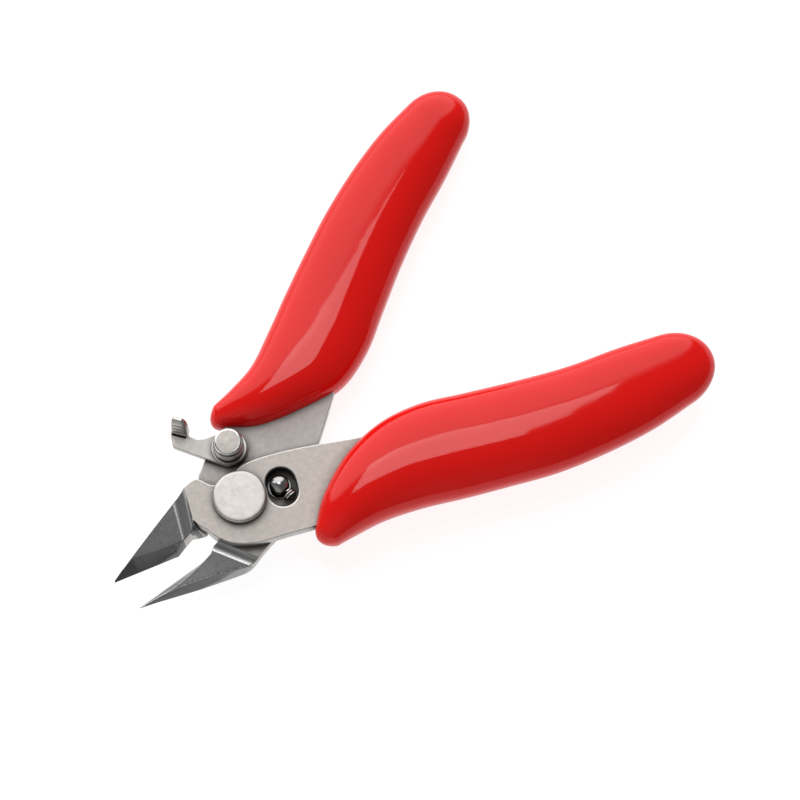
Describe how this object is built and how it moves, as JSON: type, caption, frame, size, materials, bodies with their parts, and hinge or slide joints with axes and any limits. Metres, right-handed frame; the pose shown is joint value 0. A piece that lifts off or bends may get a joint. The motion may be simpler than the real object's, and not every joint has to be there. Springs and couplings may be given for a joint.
{
  "type": "flush cutter",
  "caption": "Small lap-joint flush cutter, drawn open, with ground pointed jaws, red dipped grips, a return spring in a slot and a pivoting lock lever.",
  "frame": {"origin": "on the pivot axis, at the closed end of the rivet's shank, in the plane of the flush cutting face", "axes": "+X from the pivot to the handles along their middle line, jaws along -X; +Z out of the rivet's head; +Y towards the handle that carries the lock lever"},
  "size_m": [0.0852, 0.0608, 0.011],
  "materials": {
    "steel": "satin, fine blasted grain with ground jaws",
    "rivet_steel": "satin, lighter than the plates",
    "spring_steel": "bright drawn wire",
    "grip": "glossy dipped soft vinyl"
  },
  "bodies": {
    "rear_half": {"rear_plate": "steel", "rear_grip": "grip", "pivot_rivet": "rivet_steel", "spring_post": "rivet_steel", "return_spring": "spring_steel", "lock_stud": "rivet_steel", "lock_washer": "spring_steel", "lock_spring": "spring_steel"},
    "front_half": {"front_plate": "steel", "front_grip": "grip"},
    "lever": {"lock_lever": "steel"}
  },
  "joints": [
    {"name": "jaw_pivot", "type": "hinge", "parent": "rear_half", "child": "front_half", "pos_m": [0, 0, 0], "axis": [0, 0, 1], "range_deg": [0, 13.8], "stiffness_Nm_per_rad": 0.15, "springref_deg": -8.59, "deforming": ["return_spring"]},
    {"name": "lock_pivot", "type": "hinge", "parent": "rear_half", "child": "lever", "pos_m": [0.0036, 0.00685, 0.0024], "axis": [0, 0, 1], "range_deg": [-22, 42]}
  ]
}
